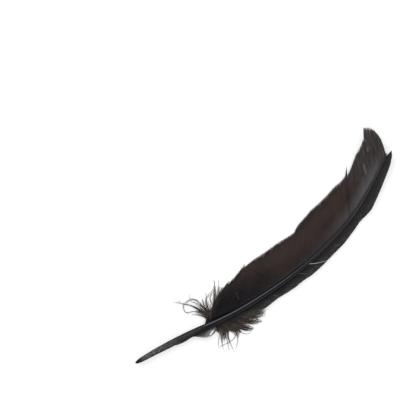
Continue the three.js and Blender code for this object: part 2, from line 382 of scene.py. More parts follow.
def line_mark(n, s, d, start, end, half_width):
    """1 on the line from start to end, which falls to 0 at half_width from it."""
    run = (end[0] - start[0], end[1] - start[1])
    from_s, from_d = n.math("SUBTRACT", s, start[0]), n.math("SUBTRACT", d, start[1])
    t = n.math("ADD", n.times(from_s, run[0]), n.times(from_d, run[1]))
    t = n.ramp(t, 0, run[0] ** 2 + run[1] ** 2, kind="LINEAR")
    off_s = n.math("SUBTRACT", from_s, n.times(t, run[0]))
    off_d = n.math("SUBTRACT", from_d, n.times(t, run[1]))
    square = n.math("ADD", n.times(off_s, off_s), n.times(off_d, off_d))
    return n.ramp(n.math("SQRT", square), half_width, 0)


def barb_finish(n, s, d, start, marks, darkest, lightest):
    """Shades barbs one by one, adds the marks, and makes rows of barbules with bump and gloss."""
    shade = n.ramp(n.number("barb"), 0, 1, darkest, lightest)
    shade = n.times(shade, n.ramp(n.number("clump"), 0, 1, 0.96, 1.04))
    streak = n.noise(start, 1.3, d, 0.12, 3.0)
    n.shade(n.times(shade, n.ramp(streak, 0.25, 0.75, 0.93, 1.07)))
    for first, last, half_width, tone, strength in marks:
        n.paint(line_mark(n, s, d, first, last, half_width), tone, strength)
    rows = n.noise(start, 40, d, 9)
    n.bump(rows, 0.3, 0.00005)
    return n.finish(n.ramp(rows, 0.3, 0.7, 0.42, 0.62))


# Creases, gaps between barbs and scratches: each is a line, its half width, its colour and how strong it
# is; the dark lines are painted shade.
DARK_LINE = (17, 14, 15)
LIGHT_LINE = (118, 114, 114)
BROAD_MARKS = [
    ((142.5, 26.4), (148.5, 14.5), 0.8, DARK_LINE, 0.85),
    ((116.2, 9.6), (117.2, 15.5), 0.45, LIGHT_LINE, 0.38),
    ((256, 1.8), (263, 6), 0.45, DARK_LINE, 0.7),
    ((294.8, 9.5), (302.1, 15), 0.6, LIGHT_LINE, 0.8),
    ((315, 17), (318.5, 18.7), 0.6, LIGHT_LINE, 0.7),
    ((315.6, 11.6), (320, 13.6), 0.6, DARK_LINE, 0.6),
    ((305.5, 5.4), (310, 7), 0.7, DARK_LINE, 0.5),
    ((289, 6.8), (296, 11.5), 0.7, DARK_LINE, 0.35),
    ((323, 22.5), (325, 27), 1.2, LIGHT_LINE, 0.35),
    ((283, 15), (292, 21.5), 0.8, DARK_LINE, 0.25),
    ((303, 8.5), (308.5, 12.5), 0.6, DARK_LINE, 0.4),
    ((281, 4.5), (290, 10.5), 0.6, LIGHT_LINE, 0.25),
]
# The pale streaks along the narrow barbs are painted glints.
NARROW_MARKS = [
    ((178.5, 2.9), (183, 6.6), 0.7, LIGHT_LINE, 0.4),
    ((146.5, 5.4), (149.5, 8), 0.7, LIGHT_LINE, 0.35),
    ((220, 5.6), (224.5, 9), 0.8, LIGHT_LINE, 0.25),
    ((104, 4), (107, 7), 0.7, LIGHT_LINE, 0.2),
]


def broad_material():
    n = Nodes("broad barbs", specular=0.15)
    s, d, start, share = (n.number(name) for name in ("place_s", "place_d", "start", "share"))
    cloud = n.noise(s, 0.05, d, 0.08, 3.0)
    n.base = n.blend(n.ramp(cloud, 0.35, 0.65), colour(46, 36, 35), colour(54, 43, 39))
    # Almost black at the foot, partly its own colour and partly painted shade, with a painted sheen beside
    # the shaft and brown margins.
    n.paint(n.ramp(n.math("ADD", s, n.times(d, 1.9)), 222, 112), (3, 5, 12))
    sheen = n.times(n.ramp(s, 92, 125), n.ramp(s, 240, 190))
    n.paint(n.times(n.ramp(d, 5.5, 3), sheen), (62, 58, 62), 0.5)
    margin = n.times(n.ramp(share, 0.75, 1), n.ramp(s, 122, 100))
    margin = n.math("MAXIMUM", margin, n.times(n.ramp(start, 86, 76), n.ramp(d, 3, 8)))
    n.paint(margin, (50, 40, 40))
    # The tip is worn to grey, with a painted sheen beside the shaft, and pale and dark flecks along the
    # barbs.
    n.paint(n.ramp(n.math("ADD", s, n.times(d, 0.5)), 275, 312), (52, 47, 47))
    # Painted sheen beside the shaft.
    gloss = n.times(n.ramp(s, 190, 290), n.ramp(s, 325, 296))
    n.paint(n.times(n.ramp(d, 14, 2), gloss), (82, 80, 80))
    fleck = n.noise(start, 0.9, d, 0.12, 4.0, 0.6)
    n.paint(n.times(n.ramp(s, 266, 312), n.ramp(fleck, 0.5, 0.74)), (88, 85, 84))
    n.paint(n.times(n.ramp(s, 280, 305), n.ramp(fleck, 0.46, 0.3)), (30, 27, 29), 0.7)
    return barb_finish(n, s, d, start, BROAD_MARKS, 0.9, 1.1)


def narrow_material():
    n = Nodes("narrow barbs", specular=0.15)
    s, d, start = n.number("place_s"), n.math("ABSOLUTE", n.number("place_d")), n.number("start")
    cloud = n.noise(s, 0.12, d, 0.25, 4.0, 0.6)
    # Darker near the shaft, as painted shade, and lighter out towards the edge.
    shaded_inner = n.blend(n.ramp(s, 150, 250), colour(22, 22, 25), colour(36, 34, 36))
    outer = n.blend(n.ramp(cloud, 0.35, 0.68), colour(32, 31, 30), colour(56, 55, 53))
    n.base = n.blend(n.ramp(d, 3, 10), shaded_inner, outer)
    return barb_finish(n, s, d, start, NARROW_MARKS, 0.82, 1.18)


def down_material():
    n = Nodes("down", specular=0.15)
    fluff, strand = n.number("fluff"), n.number("barb")
    wisp = n.blend(strand, colour(82, 74, 66), colour(112, 104, 96))
    stem = n.blend(strand, colour(52, 46, 40), colour(76, 68, 59))
    n.base = n.blend(n.times(fluff, 0.8), stem, wisp)
    n.paint(n.ramp(n.number("dark"), 0, 0.9), (36, 31, 32))
    fuzz = n.noise(fluff, 30, strand, 90)
    n.bump(fuzz, 0.2, 0.00003)
    return n.finish(n.ramp(fuzz, 0.3, 0.7, 0.7, 0.9))


def shaft_material():
    n = Nodes("shaft horn", specular=0.18)
    s, d, across = n.number("place_s"), n.number("place_d"), n.number("across")
    mottle = n.noise(s, 0.42, d, 0.6, 5.0, 0.75)
    horn = n.blend(n.ramp(mottle, 0.3, 0.7), colour(7, 9, 12), colour(20, 24, 28))
    pale = n.blend(n.ramp(mottle, 0.42, 0.6), colour(20, 20, 23), colour(92, 91, 88))
    pale = n.blend(n.times(n.ramp(s, 20, 34), 0.5), pale, colour(40, 40, 43))
    quill = n.times(n.times(n.ramp(s, 4, 12), n.ramp(s, 53, 36)), n.band(across, -0.5, 0.6, 0.32))
    n.base = n.blend(quill, horn, pale)
    # A faint pale streak along the top of the quill's end is a painted highlight.
    n.paint(n.times(n.band(across, 0.0, 0.15, 0.22), n.band(s, 54, 66, 7)), (70, 74, 78), 0.18)

    # The rachis is black and greyer on top towards its end. Its pale lines are painted highlights, and its
    # dark band, groove and pit are painted shade.
    rachis = n.ramp(s, 68, 80)
    top = n.ramp(n.number("up"), 0.1, 0.5)
    n.paint(rachis, (8, 8, 12))
    n.paint(n.times(n.ramp(s, 165, 230), top), (46, 42, 44), 0.75)
    # Painted highlight along the shoulder on the broad side.
    crest_highlight = n.times(n.ramp(s, 71, 79), n.ramp(s, 215, 140, 0.25, 1.0))
    crest_highlight = n.times(crest_highlight, n.band(across, 0.42, 0.58, 0.14))
    n.paint(n.times(crest_highlight, top), (81, 79, 87))
    # Painted highlight along the shoulder on the narrow side.
    n.paint(n.times(n.band(across, -0.82, -0.66, 0.1), n.ramp(s, 112, 125)), (54, 52, 55), 0.6)
    # Painted shadow along the edge on the broad side, towards the end.
    n.paint(n.times(n.band(across, 0.35, 0.8, 0.15), n.ramp(s, 195, 265, 0.0, 0.95)), (14, 12, 14))
    # Painted highlight on the narrow side of the top's middle, near the end.
    n.paint(n.times(n.band(across, -0.4, -0.05, 0.15), n.ramp(s, 235, 265, 0.0, 0.6)), (84, 80, 84))
    # Painted shade in the groove and in the pit.
    n.paint(n.number("hollow"), (9, 9, 12), 0.8)
    n.paint(n.number("pit"), (6, 6, 7))
    fine = n.noise(s, 2.2, d, 1.4, 4.0, 0.6)
    n.bump(fine, 0.35, 0.0002)
    return n.finish(n.math("ADD", n.ramp(fine, 0.3, 0.7, 0.34, 0.5), n.times(rachis, 0.2)))


def membrane_material():
    n = Nodes("dry membrane", specular=0.4)
    s, reach = n.number("place_s"), n.number("reach")
    crumple = n.noise(s, 0.45, reach, 7, 4.0, 0.6)
    sheet = n.blend(n.ramp(crumple, 0.3, 0.7), colour(48, 47, 50), colour(112, 110, 112))
    rim = n.blend(n.ramp(s, 73, 79), colour(176, 174, 174), colour(72, 70, 70))
    sheet = n.blend(n.ramp(reach, 0.76, 0.95), sheet, rim)
    # Dark near the shaft: on the skin, painted shadow in the hollow between it and the quill.
    near = n.ramp(n.math("ADD", reach, n.ramp(s, 68, 77, 0.0, 0.4)), 0.45, 0.8)
    n.base = n.blend(near, colour(10, 11, 14), sheet)
    n.link(n.ramp(near, 0.3, 1.0, 1.0, 0.72), n.shader.inputs["Alpha"])
    n.bump(crumple, 0.5, 0.0003)
    return n.finish(n.ramp(crumple, 0.3, 0.7, 0.35, 0.6))


# Vanes

BARB_APART = 0.31
BARB_STATIONS = 17
# How far apart barbs lie is measured between so many of them, at these shares of their length.
TRIED_STARTS = 6000
TRIED_SHARES = np.linspace(0.05, 0.9, 8)
BARB_ROOT_DEPTH = 0.25
BARB_OVERLAP = 1.35
BARB_HALF_WIDTH = (0.1, 0.32)
# Heights of each barb's ridge and depths of its keel, at its root and at its tip.
BARB_RIDGE = (0.3, 0.1)
BARB_KEEL = (0.16, 0.06)
BARB_FLANK, FLANK_RISE = 0.22, 0.02
# Which of the six points round a barb are the two edges of its flat strip.
STRIP_EDGES = (0, 4)
WEB_RISE = 0.35
# How unevenly barbs end, which grows over the worn tip, and how unevenly high they stand.
RAGGED = 0.005
WORN_TIP = (297, 306)
BARB_UNEVEN = 0.05
# Barbs cling together in clumps. Gaps open between clumps over the last share of the barbs' length.
CLUMP_BARBS = (5, 24)
GAP_WIDTH = 0.05
GAP_SHARE = (0.06, 0.3)
GAP_FADE = 4
# Degrees that barbs lean, as shingles do, and how much that varies by clump and by barb.
SHINGLE_TILT, CLUMP_TILT, BARB_TILT = 9, 2.5, 2
# A split in the narrow vane: no barb starts between these two places.
NARROW_SPLITS = [(191.0, 191.7)]


def barb_line(rows, start, v):
    """The place at the share v along each barb that leaves the shaft at start."""
    ahead = np.interp(start, rows[:, 0], rows[:, 1])
    out = np.interp(start, rows[:, 0], rows[:, 2])
    return start + ahead * v * (1 - BARB_BEND + BARB_BEND * v), mix(root_side(start), out, v)


def unit(vectors):
    return vectors / np.linalg.norm(vectors, axis=-1, keepdims=True)


def directions(points):
    """The unit vector along each line of points, and the level one across it."""
    along = unit(np.gradient(points, axis=-2))
    return along, unit(np.stack([-along[..., 1], along[..., 0], np.zeros(along.shape[:-1])], -1))


def around(centre, along, across, sideways, rise):
    """Points round each point of the lines, so far across from it and up."""
    up = np.cross(along, across)
    up *= np.sign(up[..., 2:])
    return (
        centre[:, :, None, :] + across[:, :, None, :] * sideways[..., None]
        + up[:, :, None, :] * rise[..., None]
    )


def turns(count):
    """Angles of points that lie evenly round a circle."""
    return np.arange(count) * 2 * np.pi / count


def barb_starts(rows, side):
    """Starts of barbs that lie evenly apart, side by side."""
    start = np.linspace(rows[0, 0], rows[-1, 0], TRIED_STARTS)[:, None]
    s, d = barb_line(rows, start, TRIED_SHARES[None, :])
    points = np.dstack([place(s, side * d), np.zeros(s.shape)])
    _, across = directions(points)
    step = points[1:] - points[:-1]
    widest = np.abs((step * across[:-1]).sum(-1)).max(1)
    total = np.r_[0, np.cumsum(widest)]
    return np.interp(np.linspace(0, total[-1], int(total[-1] / BARB_APART)), total, start[:, 0])


def barb_clumps(count, random):
    """The number of the clump each barb clings to, and where the clumps part."""
    sizes = random.integers(*CLUMP_BARBS, count)
    number = np.repeat(np.arange(count), sizes)[:count]
    return number, np.flatnonzero(np.diff(number)) + 0.5


def gaps(count, parts, v, random):
    """How far each barb leans out of the gaps between clumps."""
    index = np.arange(count)[:, None] - parts[None, :]
    width = random.exponential(GAP_WIDTH, len(parts))
    reach = random.uniform(*GAP_SHARE, len(parts))
    lean = np.sign(index) * 0.5 * width * np.exp(-np.abs(index) / GAP_FADE)
    opened = smoothstep(v[:, None, :], 1 - reach[None, :, None], 1.0)
    return np.einsum("ij,kjm->im", lean, opened)


def barb_section(apart, v, tilt):
    """Points round each barb, across it and up: a flat strip with a ridge above and a keel below."""
    half = np.clip(0.5 * BARB_OVERLAP * apart, *BARB_HALF_WIDTH)
    half = half * mix(1.0, 0.45, smoothstep(v, 0.96, 1.0))
    ridge = mix(*BARB_RIDGE, v) * mix(1.0, 0.4, smoothstep(v, 0.93, 1.0))
    keel = mix(*BARB_KEEL, v) * np.ones_like(half)
    zero = np.zeros_like(half)
    flank, low = BARB_FLANK * half, zero + FLANK_RISE
    across = np.stack([-half, -flank, zero, flank, half, zero], -1)
    up = np.stack([zero, low, zero + ridge, low, zero, -keel], -1)
    return across * np.cos(tilt) - up * np.sin(tilt), across * np.sin(tilt) + up * np.cos(tilt)


def vane(name, node, material, rows, side, under, splits, wave, seed):
    """A web of barbs, each a closed strip with a ridge, that overlap as shingles do."""
    random = np.random.default_rng(seed)
    start = barb_starts(rows, side)
    for low, high in splits:
        start = start[(start <= low) | (start >= high)]
    count = len(start)
    v = np.linspace(0, 1, BARB_STATIONS)[None, :]
    s, d = barb_line(rows, start[:, None], v)
    ragged = RAGGED * (1 + smoothstep(start, *WORN_TIP))
    worn = 1 + (ragged * random.standard_normal(count))[:, None] * v**4
    s = start[:, None] + (s - start[:, None]) * worn
    d = d[:, :1] + (d - d[:, :1]) * worn
    height = under(s, d) + WEB_RISE + wave(s, d)
    height += BARB_UNEVEN * random.standard_normal(count)[:, None] * v
    centre = np.dstack([place(s, side * d), height])
    along, across = directions(centre)

    step = ((centre[1:] - centre[:-1]) * across[:-1]).sum(-1)
    apart = np.abs(step)
    apart = np.minimum(np.vstack([apart[:1], apart]), np.vstack([apart, apart[-1:]]))
    number, parts = barb_clumps(count, random)
    centre += across * gaps(count, parts, v, random)[..., None] * np.sign(step.mean())
    last = number.max() + 1
    tilt = CLUMP_TILT * random.standard_normal(last)[number] + BARB_TILT * random.standard_normal(count)
    sideways, rise = barb_section(apart, v, np.radians(SHINGLE_TILT + tilt)[:, None, None])
    points = around(centre, along, across, sideways, rise)
    sides = sideways.shape[-1]
    mesh, corners = build_mesh(name, points.reshape(-1, 3), sweep_faces(count, BARB_STATIONS, sides))
    hard_edges(mesh, sides, STRIP_EDGES)

    def each(values):
        return np.broadcast_to(values, (count, BARB_STATIONS, sides))

    level = np.array([0, 0.39, 0.5, 0.61, 1, 0.5])
    strip = map_strip(np.arange(count)[:, None, None], level, count)
    set_map(mesh, each(v[:, :, None]).ravel()[corners], each(strip).ravel()[corners])
    add_piece(name, mesh, node, material, {
        "place_s": each(s[:, :, None]),
        "place_d": each(side * d[:, :, None]),
        "start": each(start[:, None, None]),
        "share": each(v[:, :, None]),
        "barb": each(random.random(count)[:, None, None]),
        "clump": each(random.random(last)[number][:, None, None]),
    })


# Ripples that run with the barbs: height, length of a radian, and where they start, in radians.
BROAD_RIPPLES = [(0.22, 9.0, 0), (0.14, 4.1, 1.7)]
BROAD_LEAN, BROAD_RISE = 1.15, 0.15
NARROW_RIPPLE, NARROW_LENGTH, NARROW_LEAN = 0.35, 2.3, 1.4


def broad_wave(s, d):
    """The broad vane isn't quite flat."""
    at = s - BROAD_LEAN * d
    waves = sum(height * np.sin(at / length + start) for height, length, start in BROAD_RIPPLES)
    return (waves + BROAD_RISE) * smoothstep(d, 3, 20)


def narrow_wave(s, d):
    """The narrow vane's edge is wavy, most of all towards the tip."""
    wave = NARROW_RIPPLE * np.sin((s - NARROW_LEAN * d) / NARROW_LENGTH)
    return wave * smoothstep(d, 3, 11) * smoothstep(s, 130, 230)


# Shaft

SHAFT_ROUND = 72
# Stations along the shaft, closer together at the quill's tip.
SHAFT_STATIONS = np.r_[0, 0.2, 0.5, 1.0, 1.6, 2.4, 3.4, np.arange(4.5, SHAFT_LENGTH, 0.9), SHAFT_LENGTH]
# The round quill turns to a squarish rachis between these places.
SQUARE_START, SQUARE_END, SQUARENESS = 60, 84, 0.72
# Round the section, the flat back starts at this angle below the level.
BACK_ANGLE = np.pi / 2 - np.pi / 8
PIT = {"s": 72.5, "d": -2.6, "long": 4.5, "wide": 1.2, "deep": 1.7}
# The quill's surface swells and shrinks a little, by this share and so many radians a millimetre.
SWELL = 0.05
SWELL_RATES = (0.35, 0.62, 0.95, 1.4, 1.9, 2.7)


def shaft(material):
    """The quill and rachis: round at first, then flat-backed with a groove along the top."""
    random = np.random.default_rng(SEED)
    s = SHAFT_STATIONS[:, None]
    angle = turns(SHAFT_ROUND) - np.pi / 2
    half_width = smooth(SHAFT_WIDTH, s) / 2
    half_height = smooth(SHAFT_HEIGHT, s) / 2
    power = mix(1, SQUARENESS, smoothstep(s, SQUARE_START, SQUARE_END))
    back = np.sin(BACK_ANGLE) ** power
    side = np.sign(np.cos(angle)) * np.abs(np.cos(angle)) ** power
    up = np.sign(np.sin(angle)) * np.abs(np.sin(angle)) ** power
    d = -side * half_width
    height = lift(s) + half_height * (back + np.maximum(up, -back))
    top = smoothstep(up, 0.0, 0.6)
    groove_at = smooth(GROOVE_PLACE, s) * half_width
    hollow = np.exp(-(((d - groove_at) / (GROOVE_WIDTH * half_width)) ** 2))
    groove = np.maximum(smooth(GROOVE_DEPTH, s), 0) * hollow
    # How dark the groove is painted, as painted shade: from the pit on, fading towards the tip.
    hollow = hollow * smoothstep(s, 68, 76) * (1 - 0.7 * smoothstep(s, 150, 210))
    pit = np.exp(-(((s - PIT["s"]) / PIT["long"]) ** 4) - ((d - PIT["d"]) / PIT["wide"]) ** 2)
    height = height - top * np.maximum(groove, PIT["deep"] * pit)

    phase = random.uniform(0, 2 * np.pi, 2 * len(SWELL_RATES))
    bumps = sum(
        np.sin(s * rate + np.sin(angle * (1 + k % 3) + phase[k]) * 1.5 + phase[-k - 1])
        for k, rate in enumerate(SWELL_RATES)
    ) / len(SWELL_RATES)
    swell = 1 + SWELL * bumps * smoothstep(s, 1, 8) * (1 - smoothstep(s, 50, 70))
    d = d * swell
    points = np.dstack([place(s, d), np.broadcast_to(height, d.shape)])
    middle = points.mean(1, keepdims=True)
    points[..., 2] = np.maximum(mix(middle, points, swell[..., None])[..., 2], lift(s))
    stations = len(s)
    mesh, corners = build_mesh(
        "shaft_horn", points.reshape(-1, 3), sweep_faces(1, stations, SHAFT_ROUND)
    )
    ring = corners % SHAFT_ROUND
    groups = np.arange(len(corners)) // 4
    wraps = np.isin(groups, groups[ring == SHAFT_ROUND - 1]) & (ring == 0)
    ring = np.where(wraps, SHAFT_ROUND, ring)
    set_map(mesh, (corners // SHAFT_ROUND) / (stations - 1), ring / SHAFT_ROUND)
    add_piece("shaft_horn", mesh, "shaft", material, {
        "place_s": np.broadcast_to(s, d.shape),
        "place_d": d,
        "up": np.broadcast_to(up, d.shape),
        "across": d / half_width,
        "hollow": hollow * top,
        "pit": np.clip(1.6 * pit * top, 0, 1),
    })


# Down

# A place beside the shaft is looked up from every so many points of the shaft's line.
NEAR_SKIP = 4
STRAND_STATIONS = 15
STRAND_V = np.linspace(0, 1, STRAND_STATIONS)[None, :]
STRAND_SIDES = 4
STRAND_RISE = 0.3
STRAND_TIP = 0.25
STRAND_FLAT = 0.6
STRAND_BOW = 1.6
CLUMP_JITTER = 0.35
BARBULE_SIDES = 3
BARBULE_SPREAD = 58
# Where the first and the last of the wisps and of the tuft's routes start.
WISP_ROOTS = (77, 82)
TUFT_ROOTS = (77, 83)
# The fringe: how many strands, where along the shaft the last starts, how high over the web they lie,
# and at what shares of a barb's length they start and end.
FRINGE_COUNT, FRINGE_END, FRINGE_RISE = 90, 99, 0.4
FRINGE_FROM, FRINGE_TO = (0.9, 0.97), (1.0, 1.1)
MATTED, LOOSE_ENDS = 190, 90
# Between these places the lower down rises from its own surface to the narrow web's.
DOWN_TO_WEB = (94, 112)
# Each kind of strand: the ranges of its half width, of its barbules' length, their radius, the range of how
# dark its root is, and its barbules to a millimetre.
WISP = ((0.12, 0.18), (0.9, 1.7), 0.04, (0.2, 0.8), 16)
EDGE = ((0.08, 0.12), (0.8, 1.5), 0.038, (0.6, 1.0), 13)
TUFT = ((0.12, 0.2), (0.8, 1.5), 0.04, (0.7, 1.1), 4.5)
FRINGE = ((0.07, 0.11), (0.5, 1.0), 0.04, (1.3, 2.0), 14)
CURL = ((0.07, 0.09), (0.2, 0.4), 0.03, (0.0, 0.2), 10)
MAT = ((0.28, 0.42), (0.8, 1.4), 0.05, (1.0, 1.6), 2)
LOOSE_END = ((0.12, 0.18), (0.8, 1.4), 0.045, (0.9, 1.3), 3.5)
CLUMP = ((0.17, 0.26), (0.6, 1.1), 0.045, (1.1, 1.6), 2.5)
HANGING = ((0.15, 0.23), (0.6, 1.2), 0.042, (0.6, 1.3), 4)
LOOSE = ((0.15, 0.22), (0.6, 1.1), 0.045, (0.6, 1.2), 8)

# Routes of the loose strands that can be told apart, seen from above, from root to tip.
UPPER_STRANDS = [
    [(-5.5, -79.6), (-12.1, -80.2), (-16.1, -81.2), (-19.9, -82.1), (-22.8, -83.2), (-25.2, -84.2),
     (-28.3, -86.5), (-30.8, -88.0), (-33.1, -89.2), (-35.4, -90.9), (-38.1, -93.2)],
    [(-6.5, -77.2), (-13.1, -76.2), (-17.3, -76.0), (-21.1, -75.5), (-24.0, -75.9), (-26.1, -77.1),
     (-28.3, -79.7), (-29.1, -81.9), (-29.1, -84.6), (-29.7, -87.9), (-27.9, -89.7), (-25.7, -90.9),
     (-23.1, -91.7), (-20.3, -90.5)],
    [(-5.9, -77.9), (-12.3, -78.9), (-18.0, -80.6), (-24.5, -83.5), (-28.4, -86.4), (-31.6, -88.5),
     (-34.0, -89.4), (-34.6, -86.9)],
    [(-6.5, -77.2), (-13.1, -76.2), (-18.3, -75.6), (-24.1, -76.5), (-27.5, -78.5), (-29.9, -78.7),
     (-31.8, -76.9)],
    [(-6.5, -77.2), (-12.9, -76.7), (-18.5, -77.4), (-22.2, -78.4), (-24.7, -80.0), (-27.4, -80.0)],
    [(-5.2, -80.6), (-10.8, -81.0), (-15.8, -84.1), (-18.9, -87.2), (-20.8, -90.5), (-23.3, -91.3)],
    [(-4.5, -81.3), (-9.6, -82.3), (-13.7, -85.0), (-16.7, -89.3)],
    [(-6.2, -78.2), (-11.6, -78.2), (-15.8, -78.5), (-19.2, -79.1), (-21.8, -79.2)],
    [(-6.9, -76.2), (-12.6, -75.2), (-17.3, -72.4), (-20.7, -70.8)],
    [(-6.7, -75.3), (-12.3, -72.9), (-16.0, -69.8), (-18.5, -67.2), (-19.1, -64.6), (-19.1, -61.8),
     (-19.4, -58.8), (-20.2, -55.7), (-21.9, -52.8), (-24.1, -50.9)],
    [(-6.7, -75.3), (-12.3, -72.9), (-16.0, -69.8), (-18.5, -67.2), (-22.1, -64.8)],
]
UPPER_TUFT = [
    [(-4.2, -81.8), (-8.1, -82.4), (-11.7, -84.2), (-15.1, -86.9)],
    [(-5.5, -80.3), (-10.8, -81.0), (-14.7, -83.3), (-18.4, -87.0)],
    [(-5.8, -79.3), (-11.8, -80.0), (-16.2, -81.0), (-19.5, -82.0), (-24.8, -83.9)],
    [(-6.2, -78.2), (-11.6, -78.2), (-15.6, -78.7), (-19.0, -79.3)],
    [(-6.5, -77.2), (-12.5, -76.4), (-16.9, -76.0), (-20.7, -76.1)],
    [(-6.9, -76.2), (-12.6, -75.2), (-17.3, -72.4), (-20.7, -70.8)],
    [(-6.7, -75.3), (-12.3, -72.9), (-16.3, -70.1), (-19.0, -66.8)],
    [(-6.9, -74.2), (-11.8, -71.0), (-15.5, -69.0)],
    [(-6.6, -72.6), (-11.0, -68.9), (-14.3, -67.3)],
    [(-7.1, -70.4), (-11.6, -65.4), (-15.7, -62.1)],
]
# A clump fills the space between two routes, which end together at its point.
UPPER_CLUMPS = [
    [[(-5.5, -80.3), (-11.8, -80.4), (-16.2, -81.4), (-19.7, -82.4), (-24.8, -83.9)],
     [(-6.0, -78.8), (-11.8, -79.4), (-16.2, -80.6), (-19.4, -81.6), (-24.8, -83.9)]],
    [[(-4.2, -81.8), (-8.0, -82.5), (-11.4, -84.5), (-14.8, -87.2)],
     [(-5.8, -79.3), (-10.5, -80.0), (-14.9, -81.6), (-18.0, -84.7)]],
]
UPPER_CLUMP_ROOTS = (79, 78)
EDGE_CLUMPS = [
    [[(-9.7, -68.9), (-14.3, -64.1), (-17.4, -60.4), (-20.0, -56.3), (-22.6, -53.4)],
     [(-8.6, -65.2), (-12.7, -61.1), (-16.4, -58.0), (-19.7, -55.9), (-22.5, -53.3)]],
    [[(-10.0, -62.5), (-12.0, -59.1), (-14.4, -54.7), (-17.3, -51.5)],
     [(-9.3, -57.7), (-11.9, -55.6), (-14.6, -53.6), (-17.2, -51.4)]],
    [[(-9.8, -58.2), (-11.5, -55.2), (-13.0, -52.7), (-15.0, -49.9)],
     [(-9.1, -53.5), (-11.2, -52.2), (-13.3, -50.9), (-14.9, -49.8)]],
]
# These start on the web, not at the shaft.
EDGE_CLUMP_ROOTS = (None, None, None)
# Barbs that come loose from the web's lower edge.
EDGE_STRANDS = [
    [(-8.2, -67.6), (-14.2, -59.3), (-19.3, -54.9), (-26.0, -50.2)],
    [(-9.2, -65.7), (-14.8, -60.6), (-18.5, -56.1), (-23.9, -51.1)],
    [(-7.8, -68.4), (-14.7, -66.4), (-17.3, -62.4), (-17.5, -57.9)],
    [(-11, -59.5), (-16.0, -53.6), (-21.9, -47.3)],
    [(-11.4, -57.6), (-13.2, -53.6), (-15.6, -50.3)],
    [(-11.2, -52.8), (-12.7, -48.4), (-14.1, -45.1)],
    [(-8.4, -67.4), (-10.2, -65.4), (-15.5, -59.2)],
    [(-9.6, -64.2), (-11.9, -60.0), (-15.9, -54.9)],
]
UPPER_CURL = [(-1.1, -82.7), (-3.1, -82.8), (-4.2, -84.6), (-4.1, -86.3), (-2.7, -86.8)]
LOWER_CLUMPS = [
    [[(19.9, -54.9), (25.2, -50.7), (30.1, -47.5), (35.4, -45.6)],
     [(20.2, -60.7), (26.3, -57.4), (31.1, -54.0), (34.0, -50.2), (35.7, -46.2)]],
    [[(18.9, -62.1), (25.8, -59.5), (30.7, -57.1), (35.2, -55.3)],
     [(16.2, -67.5), (23.6, -66.8), (29.6, -64.0), (33.4, -60.5), (35.5, -55.9)]],
    [[(13.5, -66.1), (21.6, -66.8), (26.8, -66.6), (29.5, -67.9)],
     [(13.4, -68.8), (21.2, -69.9), (26.3, -70.2), (29.7, -68.3)]],
    [[(13.5, -67.5), (21.2, -67.8), (27.2, -68.7), (30.7, -73.2)],
     [(12.1, -71.5), (18.5, -72.6), (23.4, -72.4), (27.1, -72.8), (30.6, -73.6)]],
    [[(21.0, -42.5), (26.0, -38.1), (29.3, -34.8)], [(21.0, -46.5), (27.3, -42.0), (32.1, -36.9)]],
    [[(21.0, -46.5), (27.3, -42.0), (32.1, -36.9)],
     [(21.6, -52.7), (27.5, -49.0), (31.1, -44.6), (33.2, -39.5)]],
    [[(20.3, -49.9), (25.9, -47.4), (30.2, -45.5)], [(22.3, -53.3), (26.1, -50.4), (30.2, -46.9)]],
]
LOWER_CLUMP_ROOTS = (103, 98, 94, 92, 116, 110, 107)
HANGING_CLUMPS = [
    [[(9.7, -80.6), (14.5, -82.6), (18.4, -85.5), (23.6, -89.2)],
     [(10.0, -77.6), (16.8, -79.0), (20.4, -83.5), (23.6, -88.9)]],
    [[(10.0, -77.6), (16.2, -79.5), (20.2, -82.4), (23.9, -85.4)],
     [(12.1, -74.2), (17.9, -76.6), (21.0, -80.2), (24.5, -84.8)]],
    [[(10.7, -75.6), (16.8, -77.0), (20.4, -79.5), (23.6, -81.0), (29.6, -83.5)],
     [(12.8, -72.2), (18.6, -73.8), (21.3, -77.2), (24.0, -80.0), (30.1, -83.6)]],
    [[(11.7, -77.3), (16.4, -80.7), (19.3, -83.2), (22.4, -85.5)],
     [(13.4, -72.9), (18.4, -76.1), (21.0, -79.5), (23.3, -82.6)]],
]
HANGING_CLUMP_ROOTS = (83, 85, 87, 86)
LOWER_STRANDS = [
    [(9.7, -80.6), (14.9, -83.5), (20.0, -89.3), (24.8, -95.0)],
    [(10.0, -79.0), (17.0, -82.8), (22.3, -87.0), (28.2, -91.2)],
    [(11.4, -76.3), (18.8, -79.7), (24.9, -83.1), (32.6, -88.2)],
    [(12.1, -74.2), (19.8, -77.3), (27.3, -81.4), (37.3, -85.6)],
    [(12.8, -69.5), (20.5, -70.5), (27.3, -72.6), (32.0, -76.0), (36.3, -83.2)],
    [(15.5, -66.8), (24.3, -70.2), (28.0, -76.0), (27.3, -82.1), (25.5, -87.8), (23.7, -93.1)],
    [(12.1, -71.5), (19.5, -72.2), (24.2, -72.9), (28.4, -75.3)],
    [(16.2, -67.5), (24.6, -67.9), (30.6, -67.1), (34.4, -64.2), (35.4, -60.5)],
]
LOWER_STRAND_ROOTS = (82, 83, 85, 87, 91, 93, 90, 95)


def even_routes(routes, starts=None, side=0):
    """Smooth lines through each route's points, at even steps, from the shaft if starts on it are given."""
    if starts is not None:
        routes = [[place(s, side * root_side(s)), *route] for route, s in zip(routes, starts)]
    lines = []
    for route in routes:
        points = np.array(route, float)
        run = np.r_[0, np.cumsum(np.linalg.norm(np.diff(points, axis=0), axis=1))]
        at = np.linspace(0, run[-1], STRAND_STATIONS)
        lines.append(np.stack([smooth(list(zip(run, axis)), at) for axis in points.T], -1))
    return np.array(lines)


def nearest_place(points):
    """The place (s, d) of each point seen from above, d always positive."""
    flat = points[..., :2].reshape(-1, 2)
    gap = np.linalg.norm(flat[:, None, :] - PATH[None, ::NEAR_SKIP, :], axis=-1)
    s = gap.argmin(1) * PATH_STEP * NEAR_SKIP
    return s.reshape(points.shape[:-1]), gap.min(1).reshape(points.shape[:-1])


